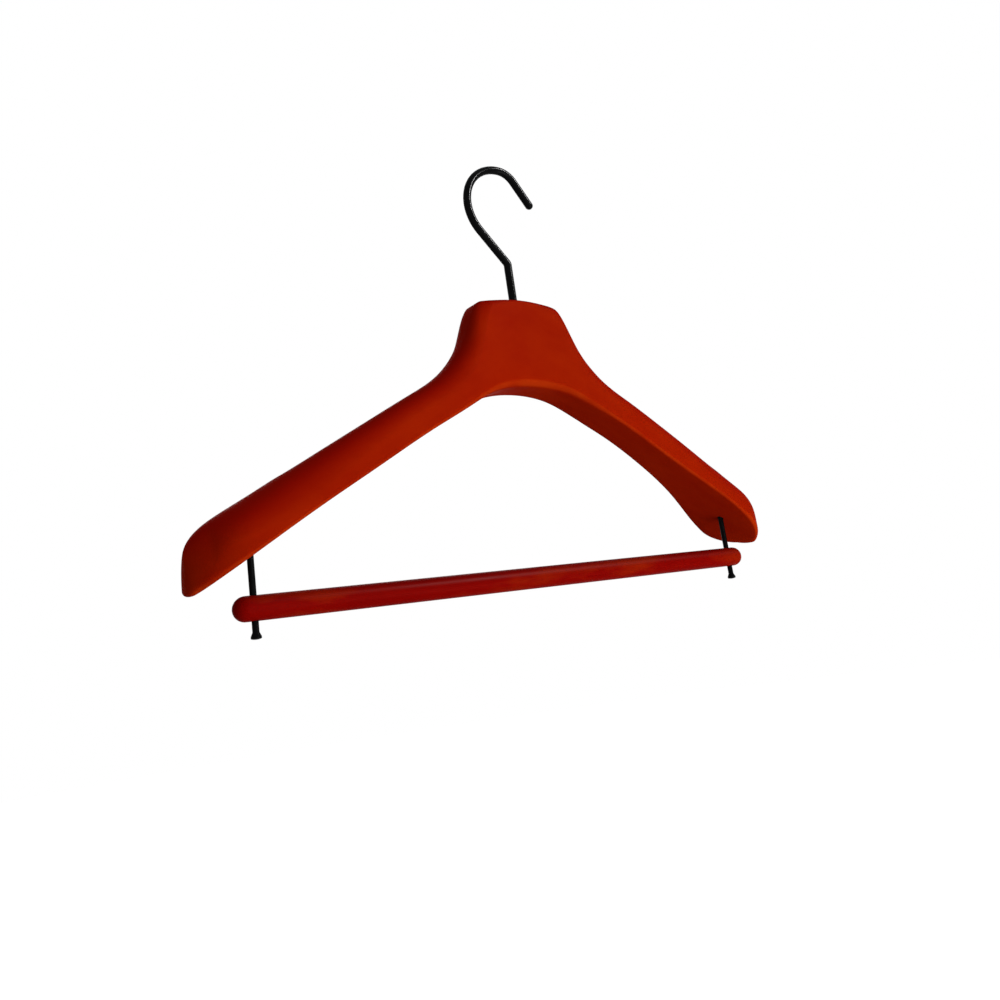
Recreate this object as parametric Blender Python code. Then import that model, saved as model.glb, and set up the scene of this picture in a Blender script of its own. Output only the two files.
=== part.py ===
"""Suit hanger: two contoured wooden arms glued at the neck, a bent wire hook that swivels
in the neck, and a wooden trouser bar that slides on two headed pins.

Blender 4.5, metres, +Z up. Run it with: blender --background --python part.py

The origin is the point under the hook's crown where a rail carries the hanger, on the
axis that the hook swivels about. +X runs along the arms. The arms sweep towards +Y, the
hollow side, where the front of a jacket hangs.
"""

import math

import bmesh
import bpy
import numpy as np
from mathutils import Matrix, Vector

# Fits
CLEARANCE = 0.0003
OVERRUN = 0.010

# Arms, from the hook's axis out to the tips
HALF_WIDTH = 0.220
NECK_REACH = 0.064
NECK_FALL = 0.0507
ARM_FALL = 0.0656
NECK_HEIGHT = 0.0585
UNDERSIDE_FALL = 0.1128
NECK_THICKNESS = 0.0293
NECK_FRONT_WALL = 0.0078
FRONT_SWEEP = 0.0175
SHOULDER_THICKNESS = 0.0458
NECK_FILLET = 0.0055
ARM_FILLET = 0.0025
TIP_FILLET = 0.0055
TIP_TOP_RUN = 0.0517
TIP_FRONT_RUN = 0.029
TIP_BACK_RUN = 0.0237
FLAT_INSET = 0.011
FLAT_RUN = 0.028
CROWN_EASE = 0.004

# The arms' lines: places along the arm, and heights or depths there
NECK_PLACE_SHARES = (0.0, 0.22, 0.36, 0.44, 0.5, 0.56, 0.66, 0.78, 1.0)
NECK_FALL_SHARES = (0.0, 0.015, 0.03, 0.04, 0.065, 0.17, 0.465, 0.715, 1.0)
ARM_PLACE_SHARES = (0.13, 0.33, 0.55, 0.78, 1.0)
ARM_FALL_SHARES = (0.19, 0.45, 0.74, 1.0, 0.96)
UNDER_PLACE_SHARES = (0.0, 0.07, 0.14, 0.23, 0.36, 0.52, 0.68, 0.84, 1.0)
UNDER_FALL_SHARES = (0.0, 0.01, 0.045, 0.13, 0.26, 0.435, 0.61, 0.795, 1.0)
SIDE_PLACE_SHARES = (0.0, 0.23, 0.45, 0.68, 0.86, 1.0)
SWEEP_SHARES = (0.0, -0.2, -0.05, 0.1, 0.3, 1.0)
THICKENING_SHARES = (0.0, 0.05, 0.05, 0.65, 1.45, 1.0)
CROWN_PLACE_SHARES = (0.0, 0.06, 0.12, 0.15, 0.19, 0.23, 0.36, 0.6, 0.8, 1.0)
FRONT_CROWN_SHARES = (0.15, 0.2, 0.4, 0.5, 0.7, 0.85, 0.9, 0.9, 0.9, 0.95)
BACK_CROWN_SHARES = (0.2, 0.4, 0.65, 0.85, 1.0, 1.0, 0.9, 0.9, 0.9, 0.95)
LEAST_SHARE = 0.05
NOSE_DEPTH_SHARE = 0.3
NOSE_HEIGHT_SHARE = 0.38
TIP_EASE = 1.4
TIP_ROUNDNESS = 1.6

# Hook
WIRE_DIAMETER = 0.0055
KINK_RISE = 0.0281
KINK_RADIUS = 0.0032
BOW_RISE = 0.0685
BOW_OFFSET = 0.0025
BOW_RADIUS = 0.0285
NOSE_RADIUS = 0.015
NOSE_START = 0.004
NOSE_TURN = math.radians(52)
END_LENGTH = 0.0195
HOOK_HEAD_DIAMETER = 0.0095
HOOK_HEAD_HEIGHT = 0.0025
HEAD_CHAMFER = 0.0006

# Swivel in the neck
ENTRY_DEPTH = 0.0045
BUSH_WALL = 0.001
BUSH_LENGTH = 0.020
WASHER_DIAMETER = 0.011
WASHER_THICKNESS = 0.0012
HEAD_ROOM = 0.001

# Dowels in the neck's joint
DOWEL_DIAMETER = 0.008
DOWEL_LENGTH = 0.040
DOWEL_SPACING = 0.0125
DOWEL_RISE = 0.0125
DOWEL_CHAMFER = 0.0008

# Pins and trouser bar
PIN_INSET = 0.0344
PIN_DEPTH_SHARE = 0.465
PIN_DIAMETER = 0.0037
PIN_GRIP = 0.020
PIN_FREE_LENGTH = 0.0078
PIN_HEAD_DIAMETER = 0.0058
PIN_HEAD_HEIGHT = 0.0016
PIN_HEAD_RIM = 0.0008
PIN_HEAD_FLARE = 0.0022
PIN_POINT = 0.0012
BAR_GAP = 0.0225
BAR_DIAMETER = 0.0135
BAR_OVERHANG = 0.0116

# Finishes: linear colours and roughnesses
LACQUERED_WOOD_COLOUR = (0.33, 0.015, 0.003)
LACQUERED_BAR_COLOUR = (0.27, 0.01, 0.004)
BEECH_COLOUR = (0.55, 0.36, 0.2)
BLACK_STEEL_COLOUR = (0.008, 0.008, 0.009)
ZINC_COLOUR = (0.55, 0.56, 0.58)
LACQUER_ROUGHNESS = 0.35
BARE_WOOD_ROUGHNESS = 0.7
STEEL_ROUGHNESS = 0.25

# How finely the pieces are cut
LINE_STEPS = 400
EASE_STEPS = 9
NECK_STEPS = 22
ARM_STEPS = 14
TIP_STEPS = 16
CROWN_STEPS = 10
FILLET_STEPS = 3
WIRE_SIDES = 16
KINK_STEPS = 6
BOW_STEPS = 22
NOSE_STEPS = 8
END_STEPS = 4
ROUND_SIDES = 32
BAR_SIDES = 32
BALL_STEPS = 7
PIN_SIDES = 20
SMOOTH_ANGLE = math.radians(35)

# The hook's axis is x = 0, y = 0, and heights here are above the origin
WIRE_RADIUS = WIRE_DIAMETER / 2
BOW_INSIDE = BOW_RADIUS - WIRE_RADIUS
NECK_TOP = -(BOW_RISE + math.sqrt(BOW_INSIDE ** 2 - BOW_OFFSET ** 2))
PIN_X = HALF_WIDTH - PIN_INSET


def clear_scene():
    for old in list(bpy.data.objects):
        bpy.data.objects.remove(old, do_unlink=True)


def finish(name, colour, roughness, metallic=0.0):
    """A plain material in a linear colour."""
    made = bpy.data.materials.new(name)
    made.use_nodes = True
    shader = made.node_tree.nodes["Principled BSDF"]
    shader.inputs["Base Color"].default_value = (*colour, 1.0)
    shader.inputs["Roughness"].default_value = roughness
    shader.inputs["Metallic"].default_value = metallic
    return made


def piece(name, bm, material, location=(0, 0, 0), parent=None):
    """Turns a bmesh into a named object, with outward faces and smooth round sides."""
    bmesh.ops.recalc_face_normals(bm, faces=bm.faces)
    mesh = bpy.data.meshes.new(name)
    bm.to_mesh(mesh)
    bm.free()
    mesh.materials.append(material)
    mesh.shade_smooth()
    mesh.set_sharp_from_angle(angle=SMOOTH_ANGLE)
    made = bpy.data.objects.new(name, mesh)
    bpy.context.collection.objects.link(made)
    made.location = location
    made.parent = parent
    return made


def cutter(name, bm, material, location=(0, 0, 0)):
    made = piece(name, bm, material, location)
    made.hide_render = True
    made.display_type = "WIRE"
    return made


def cut(target, tool):
    hole = target.modifiers.new(tool.name, "BOOLEAN")
    hole.operation = "DIFFERENCE"
    hole.solver = "EXACT"
    hole.object = tool


def skin(rings):
    """Joins rings of points, in order, into one closed skin. A ring of one point is a tip."""
    bm = bmesh.new()
    loops = [[bm.verts.new(point) for point in ring] for ring in rings]
    for first, second in zip(loops, loops[1:]):
        count = max(len(first), len(second))
        for i in range(count):
            j = (i + 1) % count
            corners = [first[i % len(first)], first[j % len(first)]]
            corners += [second[j % len(second)], second[i % len(second)]]
            bm.faces.new(list(dict.fromkeys(corners)))
    for end in (loops[0], loops[-1]):
        if len(end) > 2:
            bm.faces.new(end)
    return bm


def turned(profile, sides=ROUND_SIDES, turn=Matrix.Identity(3)):
    """Turns a profile of radius and height about Z. A radius of zero closes the end."""
    rings = []
    for radius, height in profile:
        around = [2 * math.pi * i / sides for i in range(sides)] if radius > 0 else [0]
        ring = [Vector((radius * math.cos(a), radius * math.sin(a), height)) for a in around]
        rings.append([turn @ point for point in ring])
    return skin(rings)


def sleeve(outer, inner, length):
    """A plain ring or tube about Z, with its top at height zero."""
    bm = bmesh.new()
    loops = []
    for radius, height in ((outer, 0), (outer, -length), (inner, -length), (inner, 0)):
        around = [2 * math.pi * i / ROUND_SIDES for i in range(ROUND_SIDES)]
        loops.append([bm.verts.new((radius * math.cos(a), radius * math.sin(a), height)) for a in around])
    for k in range(len(loops)):
        first = loops[k]
        second = loops[(k + 1) % len(loops)]
        for i in range(ROUND_SIDES):
            j = (i + 1) % ROUND_SIDES
            bm.faces.new((first[i], first[j], second[j], second[i]))
    return bm


def even_curve(places, values):
    """A smooth cubic curve through values at places from zero out, the same on both sides."""
    x = np.concatenate([-np.array(places[:0:-1]), places])
    y = np.concatenate([values[:0:-1], values])
    step = np.diff(x)
    slope = np.diff(y) / step
    count = len(x)
    system = np.zeros((count, count))
    target = np.zeros(count)
    for i in range(1, count - 1):
        system[i, i - 1:i + 2] = (step[i - 1], 2 * (step[i - 1] + step[i]), step[i])
        target[i] = 6 * (slope[i] - slope[i - 1])
    system[0, :3] = (step[1], -step[0] - step[1], step[0])
    system[-1, -3:] = (step[-1], -step[-1] - step[-2], step[-2])
    bend = np.linalg.solve(system, target)

    def at(place):
        i = int(np.clip(np.searchsorted(x, place) - 1, 0, count - 2))
        after = place - x[i]
        before = x[i + 1] - place
        cubic = (bend[i] * before ** 3 + bend[i + 1] * after ** 3) / (6 * step[i])
        start = (y[i] / step[i] - bend[i] * step[i] / 6) * before
        end = (y[i + 1] / step[i] - bend[i + 1] * step[i] / 6) * after
        return float(cubic + start + end)

    return at


def along(size, shares):
    return [size * share for share in shares]


def arm_lines():
    """The arm's top, underside, front and back as curves of the distance from the middle.

    Heights are below the neck's top, and depths are behind the hook's axis. The last two
    curves say how far the top is rounded in front and behind, over half the thickness.
    """
    outer = HALF_WIDTH - NECK_REACH
    top_places = along(NECK_REACH, NECK_PLACE_SHARES)
    top_places += [NECK_REACH + outer * share for share in ARM_PLACE_SHARES]
    top_heights = along(-NECK_FALL, NECK_FALL_SHARES)
    top_heights += [-NECK_FALL - ARM_FALL * share for share in ARM_FALL_SHARES]
    under_heights = [-NECK_HEIGHT - UNDERSIDE_FALL * share for share in UNDER_FALL_SHARES]
    fronts = [-NECK_FRONT_WALL + FRONT_SWEEP * share for share in SWEEP_SHARES]
    widening = SHOULDER_THICKNESS - NECK_THICKNESS
    backs = [
        front + NECK_THICKNESS + widening * share
        for front, share in zip(fronts, THICKENING_SHARES)
    ]
    return (
        even_curve(top_places, top_heights),
        even_curve(along(HALF_WIDTH, UNDER_PLACE_SHARES), under_heights),
        even_curve(along(HALF_WIDTH, SIDE_PLACE_SHARES), fronts),
        even_curve(along(HALF_WIDTH, SIDE_PLACE_SHARES), backs),
        even_curve(along(HALF_WIDTH, CROWN_PLACE_SHARES), FRONT_CROWN_SHARES),
        even_curve(along(HALF_WIDTH, CROWN_PLACE_SHARES), BACK_CROWN_SHARES),
    )


TOP_LINE, UNDER_LINE, FRONT_LINE, BACK_LINE, FRONT_CROWN, BACK_CROWN = arm_lines()


def half_thickness(place):
    return (BACK_LINE(place) - FRONT_LINE(place)) / 2


def crown_line():
    """Where the rounding of the top starts: the top line moved inwards, square to itself.

    It is evened out over a short way, so that it has no corner.
    """
    places = np.linspace(0, HALF_WIDTH, LINE_STEPS)
    heights = np.array([TOP_LINE(x) for x in places])
    radii = np.array([FRONT_CROWN(x) * half_thickness(x) for x in places])
    slopes = np.gradient(heights, places)
    tilts = np.sqrt(1 + slopes ** 2)
    moved = np.maximum.accumulate(places + radii * slopes / tilts)
    lowered = heights - radii / tilts
    ways = CROWN_EASE * np.linspace(-1, 1, EASE_STEPS)
    return lambda place: float(np.mean(np.interp(abs(place + ways), moved, lowered)))


CROWN_LINE = crown_line()


def done(place, run, inset=0.0):
    """How much of a run that ends at an inset from the tip a place has covered, from 0 to 1."""
    return min(1.0, max(0.0, (place - (HALF_WIDTH - inset - run)) / run))


def closing(place, run):
    """How open the tip's top still is: 1 before its run, 0 at the very tip."""
    return (1 - done(place, run) ** TIP_EASE) ** (1 / TIP_ROUNDNESS)


def round_closing(place, run, inset=0.0):
    """The same along a quarter of an ellipse, for the sides, their flat parts and the sole."""
    return math.sqrt(1 - done(place, run, inset) ** 2)


def fillet_radius(place):
    """Radius of the lower edges: large at the neck, small along the arm, larger at the tip."""
    eased = min(1.0, place / NECK_REACH) ** 2
    radius = NECK_FILLET + (ARM_FILLET - NECK_FILLET) * eased
    return radius + (TIP_FILLET - ARM_FILLET) * done(place, FLAT_INSET + FLAT_RUN)


def sole_edge(place, nose, side, run, fillet):
    """Where the flat underside ends towards one side: the plan's outline moved inwards."""
    inner = (abs(side - nose) - fillet) * round_closing(place, run - fillet, fillet)
    least = LEAST_SHARE * abs(side - nose) * round_closing(place, run)
    return nose + math.copysign(max(inner, least), side - nose)


def side_profile(side, sole, ridge, heights):
    """One side of an outline: round the lower edge, straight up, and over to the ridge."""
    under, low, high, top = heights
    points = []
    for i in range(FILLET_STEPS + 1):
        a = math.pi / 2 * i / FILLET_STEPS
        points.append((side + (sole - side) * (1 - math.sin(a)), low - (low - under) * math.cos(a)))
    for i in range(CROWN_STEPS + 1):
        a = math.pi / 2 * i / CROWN_STEPS
        points.append((side + (ridge - side) * (1 - math.cos(a)), high + (top - high) * math.sin(a)))
    return points


def section(place):
    """The arm's outline across its length: flat below, with upright sides and rounded above."""
    top, under = TOP_LINE(place), UNDER_LINE(place)
    front, back = FRONT_LINE(place), BACK_LINE(place)
    nose_y = front + NOSE_DEPTH_SHARE * (back - front)
    nose_z = under + NOSE_HEIGHT_SHARE * (top - under)
    if place >= HALF_WIDTH:
        return [(nose_y, nose_z)]
    fillet = fillet_radius(place)
    low = under + fillet
    under = low - fillet * round_closing(place, fillet)
    top = nose_z + (top - nose_z) * closing(place, TIP_TOP_RUN)
    flat = (CROWN_LINE(place) - low) * round_closing(place, FLAT_RUN, FLAT_INSET)
    heights = under, low, low + max(flat, LEAST_SHARE * (top - low)), top
    front_sole = sole_edge(place, nose_y, front, TIP_FRONT_RUN, fillet)
    back_sole = sole_edge(place, nose_y, back, TIP_BACK_RUN, fillet)
    front = nose_y + (front - nose_y) * round_closing(place, TIP_FRONT_RUN)
    back = nose_y + (back - nose_y) * round_closing(place, TIP_BACK_RUN)
    half = (back - front) / 2
    front_ridge = front + half * FRONT_CROWN(place)
    back_ridge = back - half * min(2 - LEAST_SHARE - FRONT_CROWN(place), BACK_CROWN(place))
    behind = side_profile(back, back_sole, back_ridge, heights)
    return side_profile(front, front_sole, front_ridge, heights) + behind[::-1]


def arm_places():
    """Places along the arm: evenly along the neck's top line, then closer towards the tip."""
    tip_start = HALF_WIDTH - TIP_TOP_RUN
    neck = np.linspace(0, NECK_REACH, LINE_STEPS)
    climbs = np.diff([TOP_LINE(x) for x in neck])
    run = np.concatenate([[0], np.cumsum(np.hypot(np.diff(neck), climbs))])
    places = [float(np.interp(run[-1] * i / NECK_STEPS, run, neck)) for i in range(NECK_STEPS)]
    places[0] = CLEARANCE / 2
    places += [NECK_REACH + (tip_start - NECK_REACH) * i / ARM_STEPS for i in range(ARM_STEPS)]
    for i in range(TIP_STEPS + 1):
        places.append(tip_start + (HALF_WIDTH - tip_start) * math.sin(math.pi / 2 * i / TIP_STEPS))
    places[-1] = HALF_WIDTH
    return places


def make_arm(name, side, wood, parent):
    """One wooden half. Its inner end stops half the glue line short of the middle."""
    rings = [[(side * x, y, z) for y, z in section(x)] for x in arm_places()]
    return piece(name, skin(rings), wood, (0, 0, NECK_TOP), parent)


def pin_place():
    """Depth of the pins behind the hook's axis, and height of the underside there."""
    front, back = FRONT_LINE(PIN_X), BACK_LINE(PIN_X)
    return front + PIN_DEPTH_SHARE * (back - front), NECK_TOP + UNDER_LINE(PIN_X)


def hook_path():
    """The wire's middle line above the neck, in the plane y = 0, heights above the neck."""
    kink = Vector((0, KINK_RISE))
    centre = Vector((BOW_OFFSET, BOW_RISE))
    reach = centre - kink
    lean = math.asin(BOW_RADIUS / reach.length) + math.atan2(-reach.x, reach.y)
    run = math.sqrt(reach.length ** 2 - BOW_RADIUS ** 2)
    towards = Vector((-math.sin(lean), math.cos(lean)))
    touch = kink + towards * run
    trim = KINK_RADIUS * math.tan(lean / 2)
    bend_centre = Vector((-KINK_RADIUS, KINK_RISE - trim))
    points = arc(bend_centre, KINK_RADIUS, 0, lean, KINK_STEPS)
    bow_start = math.atan2(touch.y - centre.y, touch.x - centre.x) % (2 * math.pi)
    bow_end = math.acos((NOSE_START - BOW_OFFSET) / BOW_RADIUS)
    points += arc(centre, BOW_RADIUS, bow_start, bow_end, BOW_STEPS)
    nose_centre = centre + (BOW_RADIUS - NOSE_RADIUS) * Vector((math.cos(bow_end), math.sin(bow_end)))
    points += arc(nose_centre, NOSE_RADIUS, bow_end, bow_end - NOSE_TURN, NOSE_STEPS)[1:]
    heading = bow_end - NOSE_TURN - math.pi / 2
    end = points[-1] + END_LENGTH * Vector((math.cos(heading), math.sin(heading)))
    return points + [end], heading


def arc(centre, radius, start, end, steps):
    turns = [start + (end - start) * i / steps for i in range(steps + 1)]
    return [centre + radius * Vector((math.cos(a), math.sin(a))) for a in turns]


def wire_ring(point, heading, radius):
    """A ring of the wire square to its heading, an angle in the plane y = 0."""
    ring = []
    for i in range(WIRE_SIDES):
        a = 2 * math.pi * i / WIRE_SIDES
        across = radius * math.cos(a)
        x = point.x + across * math.sin(heading)
        z = point.y - across * math.cos(heading)
        ring.append(Vector((x, radius * math.sin(a), z)))
    return ring


def make_hook(steel):
    points, last = hook_path()
    up = math.pi / 2
    head_top = -(ENTRY_DEPTH + CLEARANCE + BUSH_LENGTH + WASHER_THICKNESS + 2 * CLEARANCE)
    head_radius = HOOK_HEAD_DIAMETER / 2
    foot = [
        (head_top - HOOK_HEAD_HEIGHT, head_radius - HEAD_CHAMFER),
        (head_top - HOOK_HEAD_HEIGHT + HEAD_CHAMFER, head_radius),
        (head_top, head_radius),
        (head_top, WIRE_RADIUS),
        (0, WIRE_RADIUS),
    ]
    rings = [wire_ring(Vector((0, z)), up, radius) for z, radius in foot]
    for before, point, after in zip([Vector((0, 0))] + points, points, points[1:]):
        way = (point - before).normalized() + (after - point).normalized()
        rings.append(wire_ring(point, math.atan2(way.y, way.x), WIRE_RADIUS))
    forward = Vector((math.cos(last), math.sin(last)))
    for i in range(END_STEPS):
        a = math.pi / 2 * i / END_STEPS
        point = points[-1] + WIRE_RADIUS * math.sin(a) * forward
        rings.append(wire_ring(point, last, WIRE_RADIUS * math.cos(a)))
    tip = points[-1] + WIRE_RADIUS * forward
    rings.append([Vector((tip.x, 0, tip.y))])
    return piece("hook", skin(rings), steel, (0, 0, NECK_TOP))


def make_swivel_parts(steel, parent):
    """The bush that the wire turns in, and the washer that the hook's head pulls against."""
    inside = WIRE_RADIUS + CLEARANCE
    bush_top = NECK_TOP - ENTRY_DEPTH - CLEARANCE
    piece("hook_bush", sleeve(inside + BUSH_WALL, inside, BUSH_LENGTH), steel, (0, 0, bush_top), parent)
    washer = sleeve(WASHER_DIAMETER / 2, inside, WASHER_THICKNESS)
    piece("hook_washer", washer, steel, (0, 0, bush_top - BUSH_LENGTH - CLEARANCE), parent)


def neck_pocket():
    """The space for the wire, its bush, the washer and the hook's head."""
    wire = WIRE_RADIUS + CLEARANCE
    bush = wire + BUSH_WALL + CLEARANCE
    washer = WASHER_DIAMETER / 2 + CLEARANCE
    bush_foot = -(ENTRY_DEPTH + CLEARANCE + BUSH_LENGTH)
    floor = bush_foot - WASHER_THICKNESS - 2 * CLEARANCE - HOOK_HEAD_HEIGHT - HEAD_ROOM
    return turned([
        (0, floor),
        (washer, floor),
        (washer, bush_foot),
        (bush, bush_foot),
        (bush, -ENTRY_DEPTH),
        (wire, -ENTRY_DEPTH),
        (wire, OVERRUN),
        (0, OVERRUN),
    ])


def rod(radius, length, chamfer, turn=Matrix.Identity(3)):
    """A round rod with chamfered ends, centred on its own middle."""
    half = length / 2
    return turned([
        (0, -half),
        (radius - chamfer, -half),
        (radius, -half + chamfer),
        (radius, half - chamfer),
        (radius - chamfer, half),
        (0, half),
    ], turn=turn)


def main():
    clear_scene()
    wood = finish("red_lacquered_wood", LACQUERED_WOOD_COLOUR, LACQUER_ROUGHNESS)
    bar_wood = finish("red_lacquered_bar", LACQUERED_BAR_COLOUR, LACQUER_ROUGHNESS)
    pale_wood = finish("beech", BEECH_COLOUR, BARE_WOOD_ROUGHNESS)
    black = finish("black_lacquered_steel", BLACK_STEEL_COLOUR, STEEL_ROUGHNESS)
    bright = finish("zinc_plated_steel", ZINC_COLOUR, STEEL_ROUGHNESS, metallic=1.0)
    lying = Matrix.Rotation(math.pi / 2, 3, "Y")

    swivel = bpy.data.objects.new("swivel_axis", None)
    bpy.context.collection.objects.link(swivel)
    make_hook(black)
    arms = [make_arm("left_arm", -1, wood, swivel), make_arm("right_arm", 1, wood, swivel)]
    make_swivel_parts(bright, swivel)
    pocket = cutter("neck_pocket", neck_pocket(), pale_wood, (0, 0, NECK_TOP))
    for arm in arms:
        cut(arm, pocket)

    middle_y = -NECK_FRONT_WALL + NECK_THICKNESS / 2
    dowel_z = NECK_TOP - NECK_HEIGHT + DOWEL_RISE
    for name, side in (("front", -1), ("back", 1)):
        place = (0, middle_y + side * DOWEL_SPACING / 2, dowel_z)
        dowel = rod(DOWEL_DIAMETER / 2, DOWEL_LENGTH, DOWEL_CHAMFER, lying)
        piece("joint_dowel_" + name, dowel, pale_wood, place, swivel)
        room = rod(DOWEL_DIAMETER / 2 + CLEARANCE, DOWEL_LENGTH + 2 * CLEARANCE, DOWEL_CHAMFER, lying)
        socket = cutter("dowel_socket_" + name, room, pale_wood, place)
        for arm in arms:
            cut(arm, socket)

    pin_y, under = pin_place()
    bar_z = under - BAR_GAP - BAR_DIAMETER / 2
    bar = make_bar(bar_wood, (0, pin_y, bar_z))
    head_top = bar_z - BAR_DIAMETER / 2 - PIN_FREE_LENGTH
    pin_top = under + PIN_GRIP
    for name, side, arm in (("left", -1, arms[0]), ("right", 1, arms[1])):
        place = (side * PIN_X, pin_y, head_top)
        piece(name + "_pin", pin(pin_top - head_top), black, place, swivel)
        reach = pin_top - head_top + CLEARANCE + OVERRUN
        hole = rod(PIN_DIAMETER / 2 + CLEARANCE, reach, CLEARANCE)
        drill = cutter(name + "_pin_hole", hole, pale_wood, (side * PIN_X, pin_y, pin_top + CLEARANCE - reach / 2))
        cut(arm, drill)
        cut(bar, drill)


def pin(shank):
    """A headed pin about Z, with its head's rim at height zero and flaring up into the shank."""
    head = PIN_HEAD_DIAMETER / 2
    radius = PIN_DIAMETER / 2
    dome = PIN_HEAD_HEIGHT - PIN_HEAD_RIM
    profile = [(0, -PIN_HEAD_HEIGHT)]
    for i in range(1, END_STEPS + 1):
        a = math.pi / 2 * i / END_STEPS
        profile.append((head * math.sin(a), -PIN_HEAD_RIM - dome * math.cos(a)))
    profile += [(head, 0), (radius, PIN_HEAD_FLARE), (radius, shank - PIN_POINT)]
    profile += [(radius / 2, shank), (0, shank)]
    return turned(profile, PIN_SIDES)


def make_bar(wood, place):
    """The round bar, with ball ends."""
    radius = BAR_DIAMETER / 2
    straight = PIN_X + BAR_OVERHANG - radius
    profile = []
    for i in range(BALL_STEPS + 1):
        a = math.pi / 2 * i / BALL_STEPS
        profile.append((radius * math.sin(a), -straight - radius * math.cos(a)))
    profile += [(r, -z) for r, z in reversed(profile)]
    flat_below = Matrix.Rotation(math.pi / BAR_SIDES, 3, "Z")
    lying = Matrix.Rotation(math.pi / 2, 3, "Y") @ flat_below
    return piece("trouser_bar", turned(profile, BAR_SIDES, lying), wood, place)


main()
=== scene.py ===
"""Suit hanger, finished: carved and lacquered shoulders, a black wire hook that swivels in the
neck, two black pins and a turned trouser bar that slides on them.

Blender 4.5, metres, +Z up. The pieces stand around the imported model, in its frame: the origin
is under the hook's crown, +X runs along the shoulders, +Y goes to their hollow side.
"""

import math

import bmesh
import bpy
import numpy as np
from bpy.props import FloatProperty, FloatVectorProperty, PointerProperty
from bpy.types import Operator, Panel, PropertyGroup
from mathutils import Matrix, Vector


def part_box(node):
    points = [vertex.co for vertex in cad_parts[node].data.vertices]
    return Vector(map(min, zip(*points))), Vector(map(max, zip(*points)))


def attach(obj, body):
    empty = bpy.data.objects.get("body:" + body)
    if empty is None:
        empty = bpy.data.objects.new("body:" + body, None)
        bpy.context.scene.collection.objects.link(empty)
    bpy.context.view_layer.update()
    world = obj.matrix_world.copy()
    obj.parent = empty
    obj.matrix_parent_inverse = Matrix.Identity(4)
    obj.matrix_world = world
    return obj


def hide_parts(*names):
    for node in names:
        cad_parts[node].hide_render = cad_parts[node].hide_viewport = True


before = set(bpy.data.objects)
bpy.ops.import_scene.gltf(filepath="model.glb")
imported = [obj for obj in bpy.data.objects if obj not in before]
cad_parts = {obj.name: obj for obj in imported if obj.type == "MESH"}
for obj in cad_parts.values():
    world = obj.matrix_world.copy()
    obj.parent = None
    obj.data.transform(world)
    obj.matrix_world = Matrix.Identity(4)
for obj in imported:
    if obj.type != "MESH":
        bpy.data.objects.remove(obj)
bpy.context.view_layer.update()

bl_info = {
    "name": "Suit Hanger",
    "version": (1, 0, 0),
    "blender": (4, 5, 0),
    "location": "3D View > Sidebar > Hanger",
    "description": "Finishes a suit hanger: shoulders, hook, pins, trouser bar and studio",
    "category": "Object",
}

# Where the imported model's pieces lie
NECK_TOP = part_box("right_arm")[1].z
HALF_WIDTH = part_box("right_arm")[1].x
PIN_FOOT, PIN_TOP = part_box("right_pin")
BAR_LOW, BAR_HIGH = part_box("trouser_bar")
BUSH_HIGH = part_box("hook_bush")[1]
WASHER_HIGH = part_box("hook_washer")[1]
HOOK_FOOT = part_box("hook")[0].z
CLEARANCE = 0.0003

# The shoulders' lines: places along the arm, and heights or depths there
NECK_PLACE_SHARES = (0.0, 0.22, 0.36, 0.44, 0.5, 0.56, 0.66, 0.78, 1.0)
NECK_FALL_SHARES = (0.0, 0.015, 0.03, 0.04, 0.065, 0.17, 0.465, 0.715, 1.0)
ARM_PLACE_SHARES = (0.13, 0.33, 0.55, 0.78, 1.0)
ARM_FALL_SHARES = (0.19, 0.45, 0.74, 1.0, 0.96)
UNDER_PLACE_SHARES = (0.0, 0.07, 0.14, 0.23, 0.36, 0.52, 0.68, 0.84, 1.0)
UNDER_FALL_SHARES = (0.0, 0.01, 0.045, 0.13, 0.26, 0.435, 0.61, 0.795, 1.0)
SIDE_PLACE_SHARES = (0.0, 0.23, 0.45, 0.68, 0.86, 1.0)
SWEEP_SHARES = (0.0, -0.2, -0.05, 0.1, 0.3, 1.0)
THICKENING_SHARES = (0.0, 0.05, 0.05, 0.65, 1.45, 1.0)
CROWN_PLACE_SHARES = (0.0, 0.06, 0.12, 0.15, 0.19, 0.23, 0.36, 0.6, 0.8, 1.0)
FRONT_CROWN_SHARES = (0.15, 0.2, 0.4, 0.5, 0.7, 0.85, 0.9, 0.9, 0.9, 0.95)
BACK_CROWN_SHARES = (0.2, 0.4, 0.65, 0.85, 1.0, 1.0, 0.9, 0.9, 0.9, 0.95)

# How much of an outline stays flat everywhere, and how the tips close towards their noses
LEAST_SHARE = 0.05
NOSE_DEPTH_SHARE = 0.3
NOSE_HEIGHT_SHARE = 0.38
TIP_EASE = 1.4
TIP_ROUNDNESS = 1.6

# How finely the pieces are cut
LINE_STEPS = 400
EASE_STEPS = 9
NECK_STEPS = 64
ARM_STEPS = 36
TIP_STEPS = 44
CROWN_STEPS = 22
RIDGE_STEPS = 6
SIDE_STEPS = 4
SOLE_STEPS = 8
FILLET_STEPS = 7
WIRE_SIDES = 40
KINK_STEPS = 12
BOW_STEPS = 72
NOSE_STEPS = 20
DOME_STEPS = 10
ROUND_SIDES = 64
BAR_SIDES = 96
BAR_STEPS = 40
SMOOTH_ANGLE = math.radians(35)
FLOOR_SIDES = 96

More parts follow.
